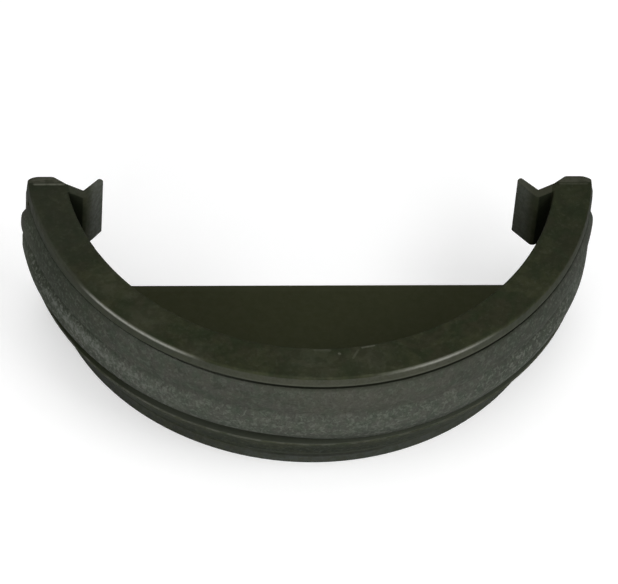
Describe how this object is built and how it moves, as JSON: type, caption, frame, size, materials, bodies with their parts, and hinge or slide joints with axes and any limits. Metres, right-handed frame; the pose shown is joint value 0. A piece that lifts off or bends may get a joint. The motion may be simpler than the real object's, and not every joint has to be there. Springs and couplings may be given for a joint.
{
  "type": "gutter end cap",
  "caption": "Half-round gutter end cap: a curved wall with a lip and a half-disc end plate, sloped noses and V spring clips on its arm ends, and a lobed seal strip in its outer groove.",
  "frame": {"origin": "on the centre line that the gutter and all arcs of the cap share, in the plane of the end plate's outer face", "axes": "+X across the gutter towards the right-hand arm, +Y towards the open top of the gutter, +Z along the gutter's centre line, from the end plate to the cap's open face; the cap lies on the outer face of its end plate, as in the picture"},
  "size_m": [0.1076, 0.0513, 0.031],
  "materials": {
    "cap_plastic": "smooth moulded dark olive plastic, lightly worn and dusty",
    "seal_rubber": "matt, fine-grained grey rubber, dusty"
  },
  "bodies": {
    "root": {"end_cap": "cap_plastic", "seal": "seal_rubber"}
  },
  "joints": []
}
